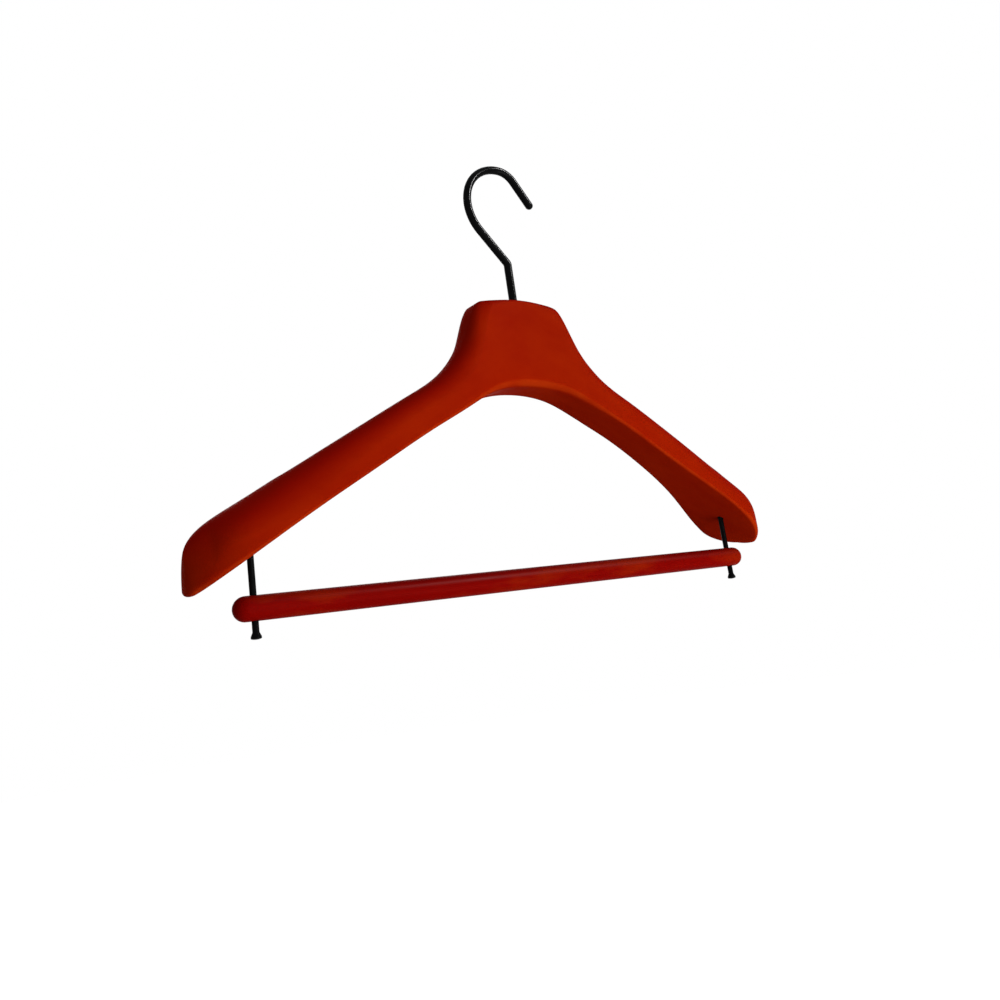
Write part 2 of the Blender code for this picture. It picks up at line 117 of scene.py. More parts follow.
# The finishes' patterns: how often each changes per metre along each axis, its detail and roughness
WOOD_STREAKS = ((9, 150, 150), 4.0, 0.6)
WOOD_CLOUDS = ((30, 60, 45), 4.0, 0.6)
WOOD_PORES = ((260, 2600, 2600), 2.0, 0.7)
WOOD_SHEEN = ((70, 110, 110), 3.0, 0.5)
WOOD_PEEL = ((900, 900, 900), 2.0, 0.5)
BAR_STREAKS = ((14, 260, 260), 4.0, 0.6)
BAR_PATCHES = ((16, 60, 60), 3.0, 0.6)
BAR_MARKS = ((1300, 40, 40), 3.0, 0.6)
BLACK_CLOUDS = ((120, 120, 120), 3.0, 0.5)
BLACK_PEEL = ((700, 700, 700), 2.0, 0.5)
ZINC_RINGS = ((60, 60, 3000), 3.0, 0.5)
BEECH_FLECKS = ((180, 1800, 1800), 3.0, 0.7)

# Where on a pattern, or on the way that a face looks, a colour starts and ends, and how far it goes
MOST = (0.3, 0.7)
STREAK_SHARE = (*MOST, 0.0, 0.3)
CLOUD_SHARE = (*MOST, 0.0, 0.7)
# Painted shade: the next two make upward faces a deeper red
UPWARD_SHARE = (0.1, 0.6, 0.0, 0.9)
UPWARD_CLOUDS = (0.2, 0.5, 0.6, 1.0)
# Painted highlight: the next three make the front's lower edges a lighter red
EDGE_SHARE = (0.2, 0.4, 0.0, 0.7)
EDGE_CLOUDS = (0.35, 0.6, 0.3, 1.0)
DOWNWARD_SHARE = (-0.1, -0.25, 0.0, 1.0)
PORE_SHARE = (0.62, 0.74, 0.0, 0.3)
BAR_STREAK_SHARE = (*MOST, 0.0, 0.5)
BAR_PATCH_SHARE = (0.35, 0.65, 0.0, 0.5)
BAR_WARM_SHARE = (0.52, 0.68, 0.0, 0.8)
BAR_GROOVE_SHARE = (0.58, 0.72, 0.0, 0.25)
BLACK_SHARE = (0.35, 0.65, 0.0, 1.0)
BEECH_SHARE = (0.4, 0.7, 0.0, 1.0)

# Tones beside a finish's own colours, as shares of these
# Painted shade: the share of green kept on upward faces, for a deeper red
TOP_SHADE_GREEN = 0.3
WARM_RED = 1.15
WARM_GREEN = 5
PORE_TONE = 0.5
GROOVE_TONE = 0.6
BLACK_CLOUD_TONE = 1.6
ZINC_RING_TONE = 0.8
BEECH_FLECK_TONE = 0.6

# The finishes' lowest and highest roughness, and the strength and depth of their relief
WOOD_ROUGHNESS = (0.36, 0.48)
BAR_ROUGHNESS = (0.3, 0.42)
BLACK_ROUGHNESS = (0.1, 0.17)
ZINC_ROUGHNESS = (0.3, 0.5)
BEECH_ROUGHNESS = (0.6, 0.8)
WOOD_RELIEF = (0.35, 0.00012)
BAR_RELIEF = (0.3, 0.0001)
BLACK_RELIEF = (0.08, 0.00002)
ZINC_RELIEF = (0.3, 0.00004)
BEECH_RELIEF = (0.4, 0.0001)
PEEL_RELIEF_SHARE = 0.35
PORE_RELIEF_SHARE = 1.2
BAR_STREAK_RELIEF_SHARE = 0.5

# The studio: each lamp's place, width and height, what the lamps aim at, and the floor
FRONT_LIGHT = ((0.25, -1.5, -0.2), (0.9, 0.9))
LOW_LIGHT = ((0.35, -0.8, -0.8), (0.9, 0.9))
BACK_LIGHT = ((0.6, 1.4, 0.6), (1.2, 1.2))
GLINT_LIGHT = ((0.78, -0.75, 0.55), (0.08, 0.5))
LIGHTS_AIM = Vector((0, 0.01, NECK_TOP))
FLOOR_RADIUS = 6.0
FLOOR_GREY = 0.6
FLOOR_ROUGHNESS = 0.9
FLOOR_GLOW = 0.9


def length(name, default, description):
    return FloatProperty(name=name, description=description, default=default, unit="LENGTH", precision=5)


def angle(name, degrees, description):
    return FloatProperty(
        name=name, description=description, default=math.radians(degrees), unit="ROTATION"
    )


def amount(name, default, description):
    return FloatProperty(name=name, description=description, default=default, min=0.0)


def colour(name, default, description):
    return FloatVectorProperty(
        name=name, description=description, default=default, subtype="COLOR", size=3, min=0.0, max=1.0
    )


class ShoulderSizes(PropertyGroup):
    """The two wooden halves, from the hook's axis out to the tips."""

    half_width: length("Half width", HALF_WIDTH, "From the hook's axis to a tip")
    neck_reach: length("Neck reach", 0.064, "How far out the neck runs")
    neck_fall: length("Neck fall", 0.0507, "How far the top falls along the neck")
    arm_fall: length("Arm fall", 0.0656, "How far the top falls from the neck to its lowest place")
    neck_height: length("Neck height", 0.0585, "From the neck's top to the underside")
    underside_fall: length("Underside fall", 0.1128, "How far the underside falls out to the tip")
    neck_thickness: length("Neck thickness", 0.0293, "Thickness at the hook's axis")
    neck_front_wall: length("Neck front wall", 0.0078, "From the hook's axis to the front face")
    front_sweep: length("Front sweep", 0.0175, "How far the front face sweeps back")
    shoulder_thickness: length("Shoulder thickness", 0.0458, "Thickness at the tips before rounding")
    neck_fillet: length("Neck edge radius", 0.0055, "Radius of the lower edges at the middle")
    arm_fillet: length("Arm edge radius", 0.0025, "Radius of the lower edges along the arms")
    tip_fillet: length("Tip edge radius", 0.0055, "Radius of the lower edges at the tips")
    tip_top_run: length("Tip top run", 0.0517, "Length over which the top closes to the tip")
    tip_front_run: length("Tip front run", 0.029, "Length over which the front closes")
    tip_back_run: length("Tip back run", 0.0237, "Length over which the back closes")
    flat_inset: length("Flat inset", 0.011, "From the tip to the end of the upright sides")
    flat_run: length("Flat run", 0.028, "Length over which the upright sides close")
    crown_ease: length("Crown ease", 0.004, "How far the line where the rounding starts is evened out")
    entry_chamfer: length("Entry chamfer", 0.0004, "Chamfer round the holes in the wood")
    grain_slope: angle("Grain slope", 30, "Slope of the wood's grain along an arm")


class HookSizes(PropertyGroup):
    """The bent wire, above and inside the neck."""

    wire_diameter: length("Wire", 0.0055, "Diameter of the wire")
    kink_rise: length("Kink rise", 0.0281, "Height of the kink above the neck")
    kink_radius: length("Kink radius", 0.0032, "Radius of the kink")
    bow_rise: length("Bow rise", 0.0685, "Height of the bow's middle above the neck")
    bow_offset: length("Bow offset", 0.0025, "How far the bow's middle lies off the axis")
    bow_radius: length("Bow radius", 0.0285, "Radius of the bow, to the wire's middle")
    nose_radius: length("Nose radius", 0.015, "Radius of the tighter bend at the top")
    nose_start: length("Nose start", 0.004, "How far off the axis that bend starts")
    nose_turn: angle("Nose turn", 52, "How far that bend turns")
    end_length: length("End length", 0.0195, "Straight length at the free end")
    head_diameter: length("Head diameter", 0.0095, "Upset head inside the neck")
    head_height: length("Head height", 0.0025, "Height of that head")
    head_chamfer: length("Head chamfer", 0.0006, "Chamfer of that head")


class BarSizes(PropertyGroup):
    """The trouser bar and its two pins."""

    bar_diameter: length("Bar", 0.0135, "Diameter of the trouser bar")
    pin_diameter: length("Pin", 0.0037, "Diameter of a pin's shank")
    head_height: length("Head height", 0.0016, "Height of a pin's head below its rim's top")
    head_rim: length("Head rim", 0.0008, "Height of the head's upright rim")
    head_flare: length("Head flare", 0.0022, "Height over which the head flares from the shank")
    pin_point: length("Pin point", 0.0012, "Length of the pin's driven point")


class Finishes(PropertyGroup):
    """Colours and gloss of the finishes."""

    shoulder_red: colour("Shoulder red", (0.34, 0.0135, 0.0006), "Lacquer on the shoulders")
    shoulder_deep: colour("Shoulder deep red", (0.29, 0.0075, 0.0004), "The same over darker grain")
    bar_red: colour("Bar red", (0.235, 0.0022, 0.0006), "Lacquer on the trouser bar")
    bar_deep: colour("Bar deep red", (0.19, 0.0008, 0.0003), "The same over darker grain")
    # Painted highlight: the lighter red put on the front's lower edges
    edge_highlight_red: colour("Edge red", (0.42, 0.03, 0.002), "Lacquer where edges are rubbed thin")
    black: colour("Black", (0.0022, 0.0022, 0.0024), "Lacquer on the hook and the pins")
    zinc: colour("Zinc", (0.55, 0.56, 0.58), "Plating of the bush and the washer")
    beech: colour("Beech", (0.55, 0.36, 0.2), "Bare wood of the dowels")
    shoulder_gloss: amount("Shoulder gloss", 0.0005, "Specular level of the shoulders' lacquer")
    bar_gloss: amount("Bar gloss", 0.004, "Specular level of the bar's lacquer")
    black_gloss: amount("Black gloss", 0.02, "Specular level of the black lacquer")


class StudioSettings(PropertyGroup):
    """Camera, lights and floor."""

    camera_x: length("Camera X", -0.3779, "Place of the camera")
    camera_y: length("Camera Y", -0.4661, "Place of the camera")
    camera_z: length("Camera Z", -0.2974, "Place of the camera")
    yaw: angle("Yaw", 36.8, "Turn of the camera from +Y towards +X")
    pitch: angle("Pitch", 13.3, "Tilt of the camera above the horizon")
    roll: angle("Roll", -8.0, "Roll of the camera")
    focal_share: amount("Focal length", 0.952, "Focal length over the picture's width")
    centre_right_share: amount("Centre across", 0.491, "The optical axis across the picture")
    centre_down_share: amount("Centre down", 0.398, "The optical axis down the picture")
    floor_drop: length("Floor drop", 0.9, "Depth of the floor below the hook's crown")
    ambient: amount("Ambient", 0.27, "Strength of the plain light from all round")
    front_power: amount("Front light", 8.6, "Power of the light in front in watts")
    low_power: amount("Low light", 10.2, "Power of the light in front and below in watts")
    glint_power: amount("Glint light", 45.0, "Power of the light that only gloss shows, in watts")
    back_power: amount("Back light", 9.0, "Power of the light behind in watts")


def collect(mesh_name, bm):
    """Keeps a bmesh as a mesh with outward faces, smooth except at its real edges."""
    bmesh.ops.recalc_face_normals(bm, faces=bm.faces)
    mesh = bpy.data.meshes.new(mesh_name)
    bm.to_mesh(mesh)
    bm.free()
    mesh.shade_smooth()
    mesh.set_sharp_from_angle(angle=SMOOTH_ANGLE)
    return mesh


def piece(name, bm, material, body, slot, *nodes, axes=Matrix.Identity(4)):
    """Places a finished piece that stands for CAD nodes and moves with a body.

    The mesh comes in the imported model's frame, and the object gets the axes given.
    """
    mesh = collect(name, bm)
    mesh.transform(axes.inverted())
    mesh.materials.append(material)
    made = bpy.data.objects.new(name, mesh)
    bpy.context.collection.objects.link(made)
    made.matrix_world = axes
    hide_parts(*nodes)
    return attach(made, body)


def skin(rings):
    """Joins rings of points, in order, into one closed skin. A ring of one point is a tip."""
    bm = bmesh.new()
    loops = [[bm.verts.new(point) for point in ring] for ring in rings]
    for first, second in zip(loops, loops[1:]):
        count = max(len(first), len(second))
        for i in range(count):
            j = (i + 1) % count
            corners = [first[i % len(first)], first[j % len(first)]]
            corners += [second[j % len(second)], second[i % len(second)]]
            bm.faces.new(list(dict.fromkeys(corners)))
    for end in (loops[0], loops[-1]):
        if len(end) > 2:
            bm.faces.new(end)
    return bm


def turned(profile, place, sides=ROUND_SIDES, turn=Matrix.Identity(3)):
    """Turns a profile of radius and height about Z. A radius of zero closes the end."""
    rings = []
    for radius, height in profile:
        around = [2 * math.pi * i / sides for i in range(sides)] if radius > 0 else [0]
        ring = [Vector((radius * math.cos(a), radius * math.sin(a), height)) for a in around]
        rings.append([Vector(place) + turn @ point for point in ring])
    return skin(rings)


def carve(bm, cutters):
    """Cuts closed shapes out of a closed shape."""
    blank = bpy.data.objects.new("blank", collect("blank", bm))
    bpy.context.collection.objects.link(blank)
    tools = []
    for shape in cutters:
        tool = bpy.data.objects.new("cutter", collect("cutter", shape))
        bpy.context.collection.objects.link(tool)
        hole = blank.modifiers.new("hole", "BOOLEAN")
        hole.operation = "DIFFERENCE"
        hole.solver = "EXACT"
        hole.object = tool
        tools.append(tool)
    carved = blank.evaluated_get(bpy.context.evaluated_depsgraph_get()).to_mesh()
    result = bmesh.new()
    result.from_mesh(carved)
    for spare in (blank, *tools):
        mesh = spare.data
        bpy.data.objects.remove(spare, do_unlink=True)
        bpy.data.meshes.remove(mesh)
    return result


def even_curve(places, values):
    """A smooth cubic curve through values at places from zero out, the same on both sides."""
    x = np.concatenate([-np.array(places[:0:-1]), places])
    y = np.concatenate([values[:0:-1], values])
    step = np.diff(x)
    slope = np.diff(y) / step
    count = len(x)
    system = np.zeros((count, count))
    target = np.zeros(count)
    for i in range(1, count - 1):
        system[i, i - 1:i + 2] = (step[i - 1], 2 * (step[i - 1] + step[i]), step[i])
        target[i] = 6 * (slope[i] - slope[i - 1])
    system[0, :3] = (step[1], -step[0] - step[1], step[0])
    system[-1, -3:] = (step[-1], -step[-1] - step[-2], step[-2])
    bend = np.linalg.solve(system, target)

    def at(place):
        i = int(np.clip(np.searchsorted(x, place) - 1, 0, count - 2))
        after = place - x[i]
        before = x[i + 1] - place
        cubic = (bend[i] * before ** 3 + bend[i + 1] * after ** 3) / (6 * step[i])
        start = (y[i] / step[i] - bend[i] * step[i] / 6) * before
        end = (y[i + 1] / step[i] - bend[i + 1] * step[i] / 6) * after
        return float(cubic + start + end)

    return at


def along(size, shares):
    return [size * share for share in shares]


class ArmForm:
    """The carved form of one arm, as outlines square to its length."""

    def __init__(self, sizes):
        self.sizes = sizes
        outer = sizes.half_width - sizes.neck_reach
        top_places = along(sizes.neck_reach, NECK_PLACE_SHARES)
        top_places += [sizes.neck_reach + outer * share for share in ARM_PLACE_SHARES]
        top_heights = along(-sizes.neck_fall, NECK_FALL_SHARES)
        top_heights += [-sizes.neck_fall - sizes.arm_fall * share for share in ARM_FALL_SHARES]
        under_heights = [
            -sizes.neck_height - sizes.underside_fall * share for share in UNDER_FALL_SHARES
        ]
        fronts = [-sizes.neck_front_wall + sizes.front_sweep * share for share in SWEEP_SHARES]
        widening = sizes.shoulder_thickness - sizes.neck_thickness
        backs = [
            front + sizes.neck_thickness + widening * share
            for front, share in zip(fronts, THICKENING_SHARES)
        ]
        side_places = along(sizes.half_width, SIDE_PLACE_SHARES)
        self.top = even_curve(top_places, top_heights)
        self.under = even_curve(along(sizes.half_width, UNDER_PLACE_SHARES), under_heights)
        self.front = even_curve(side_places, fronts)
        self.back = even_curve(side_places, backs)
        crown_places = along(sizes.half_width, CROWN_PLACE_SHARES)
        self.front_crown = even_curve(crown_places, FRONT_CROWN_SHARES)
        self.back_crown = even_curve(crown_places, BACK_CROWN_SHARES)
        self.crown_line = self.lowered_top()

    def half_thickness(self, place):
        return (self.back(place) - self.front(place)) / 2

    def lowered_top(self):
        """Where the rounding of the top starts: the top line moved inwards, square to itself.

        It is evened out over a short way, so that it has no corner.
        """
        places = np.linspace(0, self.sizes.half_width, LINE_STEPS)
        heights = np.array([self.top(x) for x in places])
        radii = np.array([self.front_crown(x) * self.half_thickness(x) for x in places])
        slopes = np.gradient(heights, places)
        tilts = np.sqrt(1 + slopes ** 2)
        moved = np.maximum.accumulate(places + radii * slopes / tilts)
        lowered = heights - radii / tilts
        ways = self.sizes.crown_ease * np.linspace(-1, 1, EASE_STEPS)
        return lambda place: float(np.mean(np.interp(abs(place + ways), moved, lowered)))

    def done(self, place, run, inset=0.0):
        """How much of a run that ends at an inset from the tip a place has covered, 0 to 1."""
        return min(1.0, max(0.0, (place - (self.sizes.half_width - inset - run)) / run))

    def closing(self, place, run):
        """How open the tip's top still is: 1 before its run, 0 at the very tip."""
        return (1 - self.done(place, run) ** TIP_EASE) ** (1 / TIP_ROUNDNESS)

    def round_closing(self, place, run, inset=0.0):
        """The same along a quarter of an ellipse, for the sides, their flat parts and the sole."""
        return math.sqrt(1 - self.done(place, run, inset) ** 2)

    def fillet_radius(self, place):
        """Radius of the lower edges: large at the neck, small along the arm, larger at the tip."""
        sizes = self.sizes
        eased = min(1.0, place / sizes.neck_reach) ** 2
        radius = sizes.neck_fillet + (sizes.arm_fillet - sizes.neck_fillet) * eased
        tip_done = self.done(place, sizes.flat_inset + sizes.flat_run)
        return radius + (sizes.tip_fillet - sizes.arm_fillet) * tip_done

    def sole_edge(self, place, nose, side, run, fillet):
        """Where the flat underside ends towards one side: the plan's outline moved inwards."""
        inner = (abs(side - nose) - fillet) * self.round_closing(place, run - fillet, fillet)
        least = LEAST_SHARE * abs(side - nose) * self.round_closing(place, run)
        return nose + math.copysign(max(inner, least), side - nose)

    def side_profile(self, side, sole, ridge, heights):
        """One side of an outline: round the lower edge, straight up, and over to the ridge."""
        under, low, high, top = heights
        points = []
        for i in range(FILLET_STEPS + 1):
            a = math.pi / 2 * i / FILLET_STEPS
            points.append((side + (sole - side) * (1 - math.sin(a)), low - (low - under) * math.cos(a)))
        points += [(side, low + (high - low) * i / SIDE_STEPS) for i in range(1, SIDE_STEPS)]
        for i in range(CROWN_STEPS + 1):
            a = math.pi / 2 * i / CROWN_STEPS
            points.append((side + (ridge - side) * (1 - math.cos(a)), high + (top - high) * math.sin(a)))
        return points

    def outline(self, place):
        """Flat below, upright sides, rounded above: depths, and heights from the neck's top."""
        sizes = self.sizes
        top, under = self.top(place), self.under(place)
        front, back = self.front(place), self.back(place)
        nose_y = front + NOSE_DEPTH_SHARE * (back - front)
        nose_z = under + NOSE_HEIGHT_SHARE * (top - under)
        if place >= sizes.half_width:
            return [(nose_y, nose_z)]
        fillet = self.fillet_radius(place)
        low = under + fillet
        under = low - fillet * self.round_closing(place, fillet)
        top = nose_z + (top - nose_z) * self.closing(place, sizes.tip_top_run)
        flat = self.crown_line(place) - low
        flat *= self.round_closing(place, sizes.flat_run, sizes.flat_inset)
        heights = under, low, low + max(flat, LEAST_SHARE * (top - low)), top
        front_sole = self.sole_edge(place, nose_y, front, sizes.tip_front_run, fillet)
        back_sole = self.sole_edge(place, nose_y, back, sizes.tip_back_run, fillet)
        front = nose_y + (front - nose_y) * self.round_closing(place, sizes.tip_front_run)
        back = nose_y + (back - nose_y) * self.round_closing(place, sizes.tip_back_run)
        half = (back - front) / 2
        front_crown = self.front_crown(place)
        front_ridge = front + half * front_crown
        back_ridge = back - half * min(2 - LEAST_SHARE - front_crown, self.back_crown(place))
        points = self.side_profile(front, front_sole, front_ridge, heights)
        points += self.between(front_ridge, back_ridge, top, RIDGE_STEPS)
        points += self.side_profile(back, back_sole, back_ridge, heights)[::-1]
        return points + self.between(back_sole, front_sole, under, SOLE_STEPS)

    def between(self, start, end, height, steps):
        """Points along a level stretch of an outline, without its ends."""
        return [(start + (end - start) * i / steps, height) for i in range(1, steps)]

    def places(self):
        """Places along the arm: evenly along the neck's top line, then closer towards the tip."""
        sizes = self.sizes
        tip_start = sizes.half_width - sizes.tip_top_run
        arm = tip_start - sizes.neck_reach
        neck = np.linspace(0, sizes.neck_reach, LINE_STEPS)
        climbs = np.diff([self.top(x) for x in neck])
        run = np.concatenate([[0], np.cumsum(np.hypot(np.diff(neck), climbs))])
        places = [float(np.interp(run[-1] * i / NECK_STEPS, run, neck)) for i in range(NECK_STEPS)]
        places += [sizes.neck_reach + arm * i / ARM_STEPS for i in range(ARM_STEPS)]
        tip = sizes.half_width - tip_start
        places += [tip_start + tip * math.sin(math.pi / 2 * i / TIP_STEPS) for i in range(TIP_STEPS)]
        return places + [sizes.half_width]

    def blank(self, side):
        """One half before its holes are made. Side is -1 for the left and 1 for the right."""
        rings = [
            [(side * x, y, NECK_TOP + z) for y, z in self.outline(x)]
            for x in self.places()
        ]
        return skin(rings)


def arc(centre, radius, start, end, steps):
    turns = [start + (end - start) * i / steps for i in range(steps + 1)]
    return [centre + radius * Vector((math.cos(a), math.sin(a))) for a in turns]


def hook_path(sizes):
    """The wire's middle line above the neck, in the plane y = 0, and its last heading."""
    kink = Vector((0, sizes.kink_rise))
    centre = Vector((sizes.bow_offset, sizes.bow_rise))
    reach = centre - kink
    lean = math.asin(sizes.bow_radius / reach.length) + math.atan2(-reach.x, reach.y)
    run = math.sqrt(reach.length ** 2 - sizes.bow_radius ** 2)
    touch = kink + run * Vector((-math.sin(lean), math.cos(lean)))
    trim = sizes.kink_radius * math.tan(lean / 2)
    bend_centre = Vector((-sizes.kink_radius, sizes.kink_rise - trim))
    points = arc(bend_centre, sizes.kink_radius, 0, lean, KINK_STEPS)
    bow_start = math.atan2(touch.y - centre.y, touch.x - centre.x) % (2 * math.pi)
    bow_end = math.acos((sizes.nose_start - sizes.bow_offset) / sizes.bow_radius)
    points += arc(centre, sizes.bow_radius, bow_start, bow_end, BOW_STEPS)
    outwards = Vector((math.cos(bow_end), math.sin(bow_end)))
    nose_centre = centre + (sizes.bow_radius - sizes.nose_radius) * outwards
    points += arc(nose_centre, sizes.nose_radius, bow_end, bow_end - sizes.nose_turn, NOSE_STEPS)[1:]
    heading = bow_end - sizes.nose_turn - math.pi / 2
    end = points[-1] + sizes.end_length * Vector((math.cos(heading), math.sin(heading)))
    return points + [end], heading


def wire_ring(point, heading, radius):
    """A ring of the wire square to its heading, an angle in the plane y = 0."""
    ring = []
    for i in range(WIRE_SIDES):
        a = 2 * math.pi * i / WIRE_SIDES
        across = radius * math.cos(a)
        x = point.x + across * math.sin(heading)
        z = NECK_TOP + point.y - across * math.cos(heading)
        ring.append(Vector((x, radius * math.sin(a), z)))
    return ring


def hook_skin(sizes):
    """The whole wire, from the head inside the neck to the rounded free end."""
    points, last = hook_path(sizes)
    up = math.pi / 2
    radius = sizes.wire_diameter / 2
    head = sizes.head_diameter / 2
    low = HOOK_FOOT - NECK_TOP
    foot = [
        (low, head - sizes.head_chamfer),
        (low + sizes.head_chamfer, head),
        (low + sizes.head_height, head),
        (low + sizes.head_height, radius),
        (0, radius),
    ]
    rings = [wire_ring(Vector((0, z)), up, r) for z, r in foot]
    for before, point, after in zip([Vector((0, 0))] + points, points, points[1:]):
        way = (point - before).normalized() + (after - point).normalized()
        rings.append(wire_ring(point, math.atan2(way.y, way.x), radius))
    forward = Vector((math.cos(last), math.sin(last)))
    for i in range(DOME_STEPS):
        a = math.pi / 2 * i / DOME_STEPS
        rings.append(wire_ring(points[-1] + radius * math.sin(a) * forward, last, radius * math.cos(a)))
    tip = points[-1] + radius * forward
    rings.append([Vector((tip.x, 0, NECK_TOP + tip.y))])
    return skin(rings)


def add(tree, kind, values=None, **settings):
    """Adds a shader node. A value that is another node's output is linked."""
    made = tree.nodes.new(kind)
    for name, setting in settings.items():
        setattr(made, name, setting)
    for name, value in (values or {}).items():
        if isinstance(value, bpy.types.NodeSocket):
            tree.links.new(value, made.inputs[name])
        else:
            made.inputs[name].default_value = value
    return made


def noise(tree, place, pattern):
    """Noise in real sizes, after one of the finishes' patterns."""
    stretch, detail, roughness = pattern
    moved = add(tree, "ShaderNodeMapping", {"Vector": place, "Scale": stretch})
    found = add(tree, "ShaderNodeTexNoise", {
        "Vector": moved.outputs[0], "Scale": 1.0, "Detail": detail, "Roughness": roughness,
    })
    return found.outputs[0]


def spread(tree, value, low, high, to_low, to_high):
    """Carries the range from low to high over to another range, and holds it at the ends."""
    found = add(tree, "ShaderNodeMapRange", {
        "Value": value, "From Min": low, "From Max": high, "To Min": to_low, "To Max": to_high,
    })
    return found.outputs[0]


def reckon(tree, operation, first, second):
    """Adds, subtracts, multiplies or compares two values in a shader."""
    found = tree.nodes.new("ShaderNodeMath")
    found.operation = operation
    for socket, value in zip(found.inputs, (first, second)):
        if isinstance(value, bpy.types.NodeSocket):
            tree.links.new(value, socket)
        else:
            socket.default_value = value
    return found.outputs[0]


def blend_colours(tree, share, first, second):
    found = tree.nodes.new("ShaderNodeMix")
    found.data_type = "RGBA"
    sockets = (found.inputs[0], found.inputs[6], found.inputs[7])
    for socket, value in zip(sockets, (share, first, second)):
        if isinstance(value, bpy.types.NodeSocket):
            tree.links.new(value, socket)
        else:
            socket.default_value = value
    return found.outputs[2]


def new_material(name, constants):
    """A material. Values that are the same all over go on the shader's own sockets."""
    made = bpy.data.materials.new(name)
    made.use_nodes = True
    tree = made.node_tree
    shader = tree.nodes["Principled BSDF"]
    for socket, value in constants.items():
        shader.inputs[socket].default_value = value
    return made, tree, shader


def surface(tree, shader, tone, pattern, roughness, height, relief):
    """Gives a shader its colour, its roughness after a pattern, and its relief after a height."""
    strength, depth = relief
    bump = add(tree, "ShaderNodeBump", {"Strength": strength, "Distance": depth, "Height": height})
    tree.links.new(tone, shader.inputs["Base Color"])
    tree.links.new(spread(tree, pattern, *MOST, *roughness), shader.inputs["Roughness"])
    tree.links.new(bump.outputs[0], shader.inputs["Normal"])


def opaque(tint, share=1.0):
    """A colour, or a darker or lighter share of it, with full opacity."""
    return *[share * c for c in tint], 1


def lacquered_wood(name, light, deep, highlit, gloss, slope):
    """Satin red lacquer over close-grained wood, with its grain at a slope to the object's X.

    Upward faces get a deeper red as painted shade, and the front's lower edges a lighter red as a
    painted highlight.
    """
    made, tree, shader = new_material(name, {"Specular IOR Level": gloss})
    coordinates = add(tree, "ShaderNodeTexCoord").outputs
    place = coordinates["Object"]
    grain = add(tree, "ShaderNodeMapping", {"Vector": place, "Rotation": (0, slope, 0)}).outputs[0]
    streaks = noise(tree, grain, WOOD_STREAKS)
    clouds = noise(tree, place, WOOD_CLOUDS)
    pores = noise(tree, grain, WOOD_PORES)
    streak_share = spread(tree, streaks, *STREAK_SHARE)
    tone = reckon(tree, "ADD", streak_share, spread(tree, clouds, *CLOUD_SHARE))
    red = blend_colours(tree, tone, opaque(deep), opaque(light))

    facing = add(tree, "ShaderNodeSeparateXYZ", {"Vector": coordinates["Normal"]}).outputs
    # Painted shade: upward faces blend towards a deeper red
    upward = spread(tree, facing["Z"], *UPWARD_SHARE)
    painted_top_shade = reckon(tree, "MULTIPLY", upward, spread(tree, clouds, *UPWARD_CLOUDS))
    red = blend_colours(tree, painted_top_shade, red, (light[0], TOP_SHADE_GREEN * light[1], light[2], 1))

    # Painted highlight: faces turned to the front and downwards, along the lower edges, blend towards a
    # lighter red
    edge = spread(tree, reckon(tree, "MULTIPLY", facing["Y"], facing["Z"]), *EDGE_SHARE)
    painted_edge_highlight = reckon(tree, "MULTIPLY", edge, spread(tree, clouds, *EDGE_CLOUDS))
    downward = spread(tree, facing["Z"], *DOWNWARD_SHARE)
    red = blend_colours(tree, reckon(tree, "MULTIPLY", painted_edge_highlight, downward), red, opaque(highlit))

    pore_share = spread(tree, pores, *PORE_SHARE)
    red = blend_colours(tree, pore_share, red, opaque(deep, PORE_TONE))
    peel = reckon(tree, "MULTIPLY", noise(tree, place, WOOD_PEEL), PEEL_RELIEF_SHARE)
    sunk = reckon(tree, "MULTIPLY", pore_share, PORE_RELIEF_SHARE)
    height = reckon(tree, "SUBTRACT", reckon(tree, "ADD", streaks, peel), sunk)
    sheen = noise(tree, grain, WOOD_SHEEN)
    surface(tree, shader, red, sheen, WOOD_ROUGHNESS, height, WOOD_RELIEF)
    return made


def turned_lacquer(name, light, deep, gloss):
    """Satin red lacquer over turned wood, with fine turning marks round the object's X."""
    made, tree, shader = new_material(name, {"Specular IOR Level": gloss})
    place = add(tree, "ShaderNodeTexCoord").outputs["Object"]
    streaks = noise(tree, place, BAR_STREAKS)
    patches = noise(tree, place, BAR_PATCHES)
    marks = noise(tree, place, BAR_MARKS)
    streak_share = spread(tree, streaks, *BAR_STREAK_SHARE)
    tone = reckon(tree, "ADD", streak_share, spread(tree, patches, *BAR_PATCH_SHARE))
    red = blend_colours(tree, tone, opaque(deep), opaque(light))
    warm = (WARM_RED * light[0], WARM_GREEN * light[1], light[2], 1)
    red = blend_colours(tree, spread(tree, patches, *BAR_WARM_SHARE), red, warm)
    red = blend_colours(tree, spread(tree, marks, *BAR_GROOVE_SHARE), red, opaque(deep, GROOVE_TONE))
    streak_height = reckon(tree, "MULTIPLY", streaks, BAR_STREAK_RELIEF_SHARE)
    height = reckon(tree, "SUBTRACT", streak_height, marks)
    surface(tree, shader, red, patches, BAR_ROUGHNESS, height, BAR_RELIEF)
    return made


def black_lacquer(name, black, gloss):
    """Gloss black lacquer on steel wire."""
    made, tree, shader = new_material(name, {"Specular IOR Level": gloss})
    place = add(tree, "ShaderNodeTexCoord").outputs["Object"]
    clouds = noise(tree, place, BLACK_CLOUDS)
    share = spread(tree, clouds, *BLACK_SHARE)
    tone = blend_colours(tree, share, opaque(black), opaque(black, BLACK_CLOUD_TONE))
    peel = noise(tree, place, BLACK_PEEL)
    surface(tree, shader, tone, clouds, BLACK_ROUGHNESS, peel, BLACK_RELIEF)
    return made


